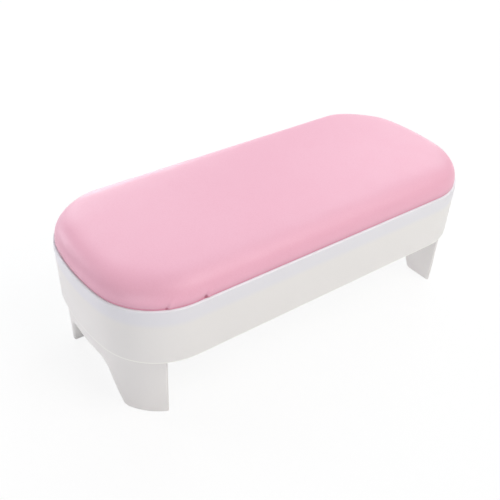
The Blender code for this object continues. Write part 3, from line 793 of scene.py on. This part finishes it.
def pressed_board():
    """Brown fibreboard with short flattened fibres."""
    shader = Shader("pressed_board")
    stretch = shader.node("ShaderNodeMapping", inputs={"Vector": shader.place(), "Scale": (1.0, 3.0, 1.0)})
    fibre = shader.noise(420.0, detail=6.0, roughness=0.7, vector=stretch)
    shade = shader.mix(shader.band(fibre, 0.3, 0.7), (0.30, 0.19, 0.10), (0.52, 0.37, 0.22))
    shader.set(Base_Color=shade)
    shader.set(Roughness=shader.band(fibre, 0.3, 0.7, 0.70, 0.90))
    shader.bump(fibre, 0.25, 0.0003)
    return shader.material


def zinc_steel():
    """Bright zinc-plated steel with fine drawn marks."""
    shader = Shader("zinc_steel")
    marks = shader.noise(2400.0, detail=4.0)
    shade = shader.mix(shader.band(marks, 0.35, 0.65), (0.56, 0.57, 0.60), (0.70, 0.70, 0.71))
    shader.set(Base_Color=shade, Metallic=1.0)
    shader.set(Roughness=shader.band(marks, 0.3, 0.7, 0.28, 0.42))
    shader.bump(marks, 0.06, 0.0001)
    return shader.material


def by_fold(vertex, start):
    """Whether a vertex of the cover is near the start of a fold."""
    return vertex.co.z > RIM_HEIGHT and (vertex.co - start).length < FOLD_REACH


def fold_edge(thing, plan, cushion):
    """Refines the cover round each fold and presses the fold in."""
    mesh = bmesh.new()
    mesh.from_mesh(thing.data)
    seam = RIM_HEIGHT + cushion.seam_lift
    for x, depth in FOLDS:
        spot, away = near_seam(plan, x, cushion.edge)
        start = Vector((*spot, seam))
        along = Vector((-away.y, away.x, 0.0))
        fine = [e for e in mesh.edges if by_fold(e.verts[0], start) and by_fold(e.verts[1], start)]
        bmesh.ops.subdivide_edges(
            mesh,
            edges=fine,
            cuts=3,
            smooth=1.0,
            smooth_falloff="LINEAR",
            use_grid_fill=True,
            use_smooth_even=True,
        )
        mesh.normal_update()
        moves = []
        for vertex in [v for v in mesh.verts if by_fold(v, start)]:
            way = vertex.co - start
            side = way.dot(along)
            up = (way - side * along).length
            rise = 0.0
            for middle, width, reach, share in FOLD_PARTS:
                off = (side - middle - FOLD_LEAN * up) / width
                rise += depth * share * math.exp(-off * off / 2) * max(0.0, 1 - up / reach)
            moves.append((vertex, rise * vertex.normal))
        for vertex, move in moves:
            vertex.co += move
    mesh.to_mesh(thing.data)
    mesh.free()


# How many rings go over the edge's roll, and how many further in over the top
ROLL_RINGS = 9
TOP_RINGS = 3


def roll_profile(cushion, rise, steps):
    """Points of the edge's roll as shares across and up, spaced evenly along it."""
    fine = []
    fine_steps = 400
    for i in range(fine_steps + 1):
        turn = math.pi / 2 * i / fine_steps
        across = 1 - math.cos(turn) ** (2 / cushion.roll_power)
        fine.append((across, math.sin(turn) ** (2 / cushion.roll_power)))
    walked = [0.0]
    for (across, up), (next_across, next_up) in zip(fine, fine[1:]):
        step = math.hypot((next_across - across) * cushion.roll, (next_up - up) * rise)
        walked.append(walked[-1] + step)
    points = []
    for step in range(steps + 1):
        target = walked[-1] * step / steps
        points.append(min(zip(walked, fine), key=lambda pair: abs(pair[0] - target))[1])
    return points


def crown_rings(path, cushion, rise):
    """Rings of the cushion's edge, from the seam at the rim over the roll and a little way over the top."""
    seam = RIM_HEIGHT + cushion.seam_lift
    places = [(across, up, 0.0) for across, up in roll_profile(cushion, rise, ROLL_RINGS)]
    # Over the top the rings go back to an even distance from the outline, so that the last one is round
    places += [(1.0, 1.0, step / TOP_RINGS) for step in range(1, TOP_RINGS + 1)]
    even = cushion.edge + cushion.roll * (1 + cushion.corner_ease) + cushion.top_ease
    rings = []
    for across, up, share in places:
        points = []
        for point, away in path:
            corner = (2 * away.x * away.y) ** 2
            inset = cushion.edge + cushion.roll * (1 + cushion.corner_ease * corner) * across
            inset += (even - inset) * share
            points.append(Vector((*(point - inset * away), seam + rise * up)))
        rings.append(points)
    return rings


# How often the middle grid is evened out, and how hard each time
EVEN_PASSES = 160
EVEN_PUSH = 1.85


def fill_evenly(mesh, row, marks):
    """Fills a closed row with a grid whose corners are at the four marks."""
    first, second, third, fourth = marks
    count = len(row)
    across, along = (first - fourth) % count, second - first

    def edge(start, step, index):
        return row[(start + step * index) % count]

    grid = []
    for u in range(along + 1):
        column = []
        for v in range(across + 1):
            top, bottom = edge(first, 1, u), edge(fourth, -1, u)
            right, left = edge(fourth, 1, v), edge(third, -1, v)
            if v == 0:
                column.append(bottom)
            elif v == across:
                column.append(top)
            elif u == 0:
                column.append(right)
            elif u == along:
                column.append(left)
            else:
                s, t = v / across, u / along
                spot = bottom.co * (1 - s) + top.co * s + right.co * (1 - t) + left.co * t
                spot -= (row[fourth].co * (1 - s) + row[first].co * s) * (1 - t)
                spot -= (row[third].co * (1 - s) + row[second].co * s) * t
                column.append(mesh.verts.new(spot))
        grid.append(column)
    # Evened out, so that the grid doesn't fold over at the row's round corners
    for _ in range(EVEN_PASSES):
        for u in range(1, along):
            for v in range(1, across):
                around = grid[u - 1][v].co + grid[u + 1][v].co + grid[u][v - 1].co + grid[u][v + 1].co
                grid[u][v].co = grid[u][v].co.lerp(around / 4, EVEN_PUSH)
    for last, column in zip(grid, grid[1:]):
        for v in range(across):
            mesh.faces.new((last[v], last[v + 1], column[v + 1], column[v]))


# How many frames the cloth runs for, and how often its moves are then shared out
CLOTH_FRAMES = 20
SHARE_PASSES = 12


def inflate(thing, held, cushion):
    """Lets padding press the cover out by cloth simulation, with the held vertices staying put."""
    start = [vertex.co.copy() for vertex in thing.data.vertices]
    group = thing.vertex_groups.new(name="held")
    group.add(held, 1.0, "REPLACE")
    step = thing.modifiers.new("cloth", "CLOTH")
    cloth = step.settings
    cloth.vertex_group_mass = "held"
    cloth.quality = 4
    cloth.mass = 0.15
    cloth.tension_stiffness = 60
    cloth.compression_stiffness = 60
    cloth.shear_stiffness = 20
    cloth.bending_stiffness = 2
    cloth.use_pressure = True
    cloth.uniform_pressure_force = cushion.pressure
    cloth.effector_weights.gravity = 0
    step.collision_settings.use_collision = False
    scene = bpy.context.scene
    for moment in range(1, CLOTH_FRAMES + 1):
        scene.frame_set(moment)
    settle(thing)
    scene.frame_set(1)
    moves = [vertex.co - origin for vertex, origin in zip(thing.data.vertices, start)]
    moves = [move if move.length < cushion.swell else move.normalized() * cushion.swell for move in moves]
    moves = evened(thing.data, moves, set(held), SHARE_PASSES)
    for vertex, origin, move in zip(thing.data.vertices, start, moves):
        vertex.co = origin + move
    thing.vertex_groups.clear()


def evened(data, moves, held, passes):
    """Shares each vertex's move with its neighbours, so that no small wrinkle is left."""
    links = [[] for _ in moves]
    for edge in data.edges:
        first, second = edge.vertices
        links[first].append(second)
        links[second].append(first)
    for _ in range(passes):
        shared = []
        for i, move in enumerate(moves):
            around = sum((moves[j] for j in links[i]), Vector()) / len(links[i])
            shared.append(move if i in held else (move + around) / 2)
        moves = shared
    return moves


def seat_crown(thing, level, lean):
    """Makes the padding fuller towards the right end, with its top at the crown's height."""
    above = [vertex for vertex in thing.data.vertices if vertex.co.z > level]
    for vertex in above:
        vertex.co.z = level + (vertex.co.z - level) * (1 + lean * vertex.co.x / HALF_LENGTH)
    top = max(vertex.co.z for vertex in above)
    for vertex in above:
        vertex.co.z = level + (vertex.co.z - level) * (CROWN_HEIGHT - level) / (top - level)


def subdivided(thing):
    """Splits each face in four on a rounder surface."""
    step = thing.modifiers.new("subdivision", "SUBSURF")
    step.levels = 1
    settle(thing)


class HANDREST_OT_stand(bpy.types.Operator):
    """Makes the moulded stand"""

    bl_idname = "handrest.stand"
    bl_label = "Stand"

    def execute(self, context):
        stand = context.scene.hand_rest_stand
        thing = add_mesh("moulded_stand", stand_skin(stand))
        stiffen(thing, stand)
        even_shading(thing)
        thing.data.materials.clear()
        thing.data.materials.append(moulded_plastic(stand))
        seat(thing, "white_plastic", "stand")
        return {"FINISHED"}


class HANDREST_OT_cushion(bpy.types.Operator):
    """Makes the padded, leather-covered cushion"""

    bl_idname = "handrest.cushion"
    bl_label = "Cushion"

    def execute(self, context):
        cushion = context.scene.hand_rest_cushion
        stand = context.scene.hand_rest_stand
        plan = Plan(stand)
        diagonal = math.pi / 4
        path = plan.path(step=0.0032, side_steps=56, marks=(diagonal,))
        marks = [i for i, (_, away) in enumerate(path) if abs(abs(away.x) - abs(away.y)) < SAME]
        seam = RIM_HEIGHT + cushion.seam_lift
        rise = CROWN_HEIGHT - seam - cushion.swell - cushion.bow
        inner_side = stand.wall + stand.gap
        mesh = bmesh.new()
        rings = [
            ring(path, inner_side, BOARD_HIGH.z + stand.gap),
            ring(path, inner_side, RIM_HEIGHT - cushion.tuck_depth),
            ring(path, cushion.edge + cushion.tuck, RIM_HEIGHT + cushion.edge_lift),
        ]
        rings += crown_rings(path, cushion, rise)
        rows = skin(mesh, rings)
        fill_evenly(mesh, rows[0], marks)
        fill_evenly(mesh, rows[-1], marks)
        for vertex in mesh.verts:
            share = 1 - (vertex.co.y / HALF_WIDTH) ** 2 - (vertex.co.x / HALF_LENGTH) ** 2
            raised = (vertex.co.z - seam) / rise
            vertex.co.z += cushion.bow * max(share, 0.0) * max(raised, 0.0)
        bmesh.ops.recalc_face_normals(mesh, faces=mesh.faces)
        cover = add_mesh("padded_cushion", mesh)
        held = [vertex.index for vertex in cover.data.vertices if vertex.co.z < seam + 10 * SAME]
        inflate(cover, held, cushion)
        seat_crown(cover, seam, cushion.lean)
        subdivided(cover)
        fold_edge(cover, plan, cushion)
        cover.data.shade_smooth()
        cover.data.materials.append(soft_leather(cushion, plan))
        seat(cover, "pink_leather", "cushion_cover", "foam_pad")
        return {"FINISHED"}


class HANDREST_OT_fixings(bpy.types.Operator):
    """Finishes the board, its screws and the cover's staples"""

    bl_idname = "handrest.fixings"
    bl_label = "Board and fixings"

    def execute(self, context):
        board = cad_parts["cushion_board"]
        board.data.materials.clear()
        board.data.materials.append(pressed_board())
        steel = zinc_steel()
        for name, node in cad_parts.items():
            if name.startswith(("board_screw", "cover_staple")):
                node.data.materials.clear()
                node.data.materials.append(steel)
        return {"FINISHED"}


# The soft lamps round the object: direction round it and height in degrees, width, power and tint
LAMPS = {
    "front": (-60, 45, 1.2, 15.2, (1.0, 0.99, 0.94)),
    "front_high": (-45, 68, 1.2, 9.2, (1.0, 0.965, 0.99)),
    "right": (30, 12, 0.8, 3.4, (0.82, 1.0, 0.96)),
    "back_right": (30, 45, 1.2, 10.0, (0.88, 0.985, 1.0)),
    "back": (75, 12, 0.8, 10.2, (0.88, 1.0, 0.99)),
    "back_high": (75, 45, 1.2, 4.0, (0.86, 0.94, 1.0)),
    "back_left": (120, 12, 0.8, 12.2, (1.0, 0.94, 0.99)),
    "left": (-150, 12, 0.8, 9.2, (0.94, 0.955, 1.0)),
}


def add_lamp(name, place, aim, size, power, shade):
    """A round soft lamp at a place, turned towards a point."""
    data = bpy.data.lights.new(name, "AREA")
    data.shape = "DISK"
    data.size = size
    data.energy = power
    data.color = shade
    lamp = bpy.data.objects.new(name, data)
    lamp.location = place
    lamp.rotation_euler = (aim - place).to_track_quat("-Z", "Y").to_euler()
    bpy.context.scene.collection.objects.link(lamp)


# How much of the floor is plain white to the camera, where the rest shows the soft shadow
FLOOR_WHITE = 0.88


def pale_floor():
    """A pale floor that looks white to the camera and keeps the soft shadow."""
    shader = Shader("pale_floor")
    shader.set(Base_Color=(0.95, 0.95, 0.95), Roughness=0.9, Specular_IOR_Level=0.1)
    rays = shader.tree.nodes.new("ShaderNodeLightPath")
    seen = Wire(shader, rays.outputs["Is Camera Ray"]) + Wire(shader, rays.outputs["Is Glossy Ray"])
    white = shader.node("ShaderNodeEmission", inputs={"Color": (1.0, 1.0, 1.0), "Strength": 1.0})
    surface = Wire(shader, shader.surface.outputs["BSDF"])
    mixed = shader.node("ShaderNodeMixShader", inputs={0: seen * FLOOR_WHITE, 1: surface, 2: white})
    output = shader.tree.nodes["Material Output"]
    shader.tree.links.new(mixed.socket, output.inputs["Surface"])
    return shader.material


class HANDREST_OT_stage(bpy.types.Operator):
    """Sets up the floor, the lamps and the camera"""

    bl_idname = "handrest.stage"
    bl_label = "Stage"

    def execute(self, context):
        stage = context.scene.hand_rest_stage
        mesh = bmesh.new()
        bmesh.ops.create_grid(mesh, x_segments=1, y_segments=1, size=stage.floor_half)
        floor = add_mesh("floor", mesh, pale_floor())
        floor.location.z = -stage.floor_drop
        self.add_sky(context, stage)
        self.add_lamps(stage)
        self.add_camera(context, stage)
        context.scene.view_settings.view_transform = "Standard"
        return {"FINISHED"}

    def add_sky(self, context, stage):
        """Even light from all round, which the camera sees as a plain pale grey beyond the floor."""
        world = bpy.data.worlds.new("studio")
        world.use_nodes = True
        tree = world.node_tree
        sky = tree.nodes["Background"]
        sky.inputs["Color"].default_value = (1.0, 1.0, 1.0, 1.0)
        sky.inputs["Strength"].default_value = stage.sky
        seen = tree.nodes.new("ShaderNodeBackground")
        seen.inputs["Color"].default_value = (0.8, 0.8, 0.8, 1.0)
        seen.inputs["Strength"].default_value = 1.0
        rays = tree.nodes.new("ShaderNodeLightPath")
        mix = tree.nodes.new("ShaderNodeMixShader")
        tree.links.new(rays.outputs["Is Camera Ray"], mix.inputs[0])
        tree.links.new(sky.outputs[0], mix.inputs[1])
        tree.links.new(seen.outputs[0], mix.inputs[2])
        tree.links.new(mix.outputs[0], tree.nodes["World Output"].inputs["Surface"])
        context.scene.world = world

    def add_lamps(self, stage):
        middle = Vector((0.0, 0.0, CROWN_HEIGHT / 2))
        for name, (azimuth, elevation, size, power, tint) in LAMPS.items():
            turn, rise = math.radians(azimuth), math.radians(elevation)
            flat = math.cos(rise)
            way = Vector((math.cos(turn) * flat, math.sin(turn) * flat, math.sin(rise)))
            add_lamp(name, middle + stage.lamp_distance * way, middle, size, power, tint)

    def add_camera(self, context, stage):
        """The camera of the reference view, aimed a little off the object's middle."""
        middle = Vector((0.0, 0.0, CROWN_HEIGHT / 2))
        flat, rise = math.cos(stage.elevation), math.sin(stage.elevation)
        back = Vector((math.sin(stage.azimuth) * flat, -math.cos(stage.azimuth) * flat, rise))
        level = Vector((0.0, 0.0, 1.0)).cross(back).normalized()
        upward = back.cross(level)
        right = math.cos(stage.roll) * level + math.sin(stage.roll) * upward
        up = math.cos(stage.roll) * upward - math.sin(stage.roll) * level
        data = bpy.data.cameras.new("camera")
        data.lens = stage.lens
        data.sensor_width = 36.0
        data.sensor_fit = "HORIZONTAL"
        data.clip_start = 0.01
        camera = bpy.data.objects.new("camera", data)
        place = middle + stage.distance * back + stage.across * right + stage.above * up
        camera.matrix_world = Matrix.Translation(place) @ Matrix((right, up, back)).transposed().to_4x4()
        context.scene.collection.objects.link(camera)
        context.scene.camera = camera


class HANDREST_PT_panel(bpy.types.Panel):
    """The hand rest's pieces and their sizes"""

    bl_label = "Hand rest"
    bl_space_type = "VIEW_3D"
    bl_region_type = "UI"
    bl_category = "Hand rest"

    def draw(self, context):
        for group, operators in PANEL:
            box = self.layout.box()
            settings = getattr(context.scene, group)
            for name in settings.bl_rna.properties.keys():
                if name not in {"rna_type", "name"}:
                    box.prop(settings, name)
            for operator in operators:
                box.operator(operator)


GROUPS = {
    "hand_rest_stand": StandSettings,
    "hand_rest_cushion": CushionSettings,
    "hand_rest_stage": StageSettings,
}
PANEL = (
    ("hand_rest_stand", ("handrest.stand", "handrest.fixings")),
    ("hand_rest_cushion", ("handrest.cushion",)),
    ("hand_rest_stage", ("handrest.stage",)),
)
CLASSES = (
    *GROUPS.values(),
    HANDREST_OT_stand,
    HANDREST_OT_cushion,
    HANDREST_OT_fixings,
    HANDREST_OT_stage,
    HANDREST_PT_panel,
)


def register():
    for item in CLASSES:
        bpy.utils.register_class(item)
    for name, group in GROUPS.items():
        setattr(bpy.types.Scene, name, PointerProperty(type=group))


def unregister():
    for name in GROUPS:
        delattr(bpy.types.Scene, name)
    for item in reversed(CLASSES):
        bpy.utils.unregister_class(item)


def main():
    register()
    bpy.ops.handrest.stand()
    bpy.ops.handrest.cushion()
    bpy.ops.handrest.fixings()
    bpy.ops.handrest.stage()


if __name__ == "__main__":
    main()
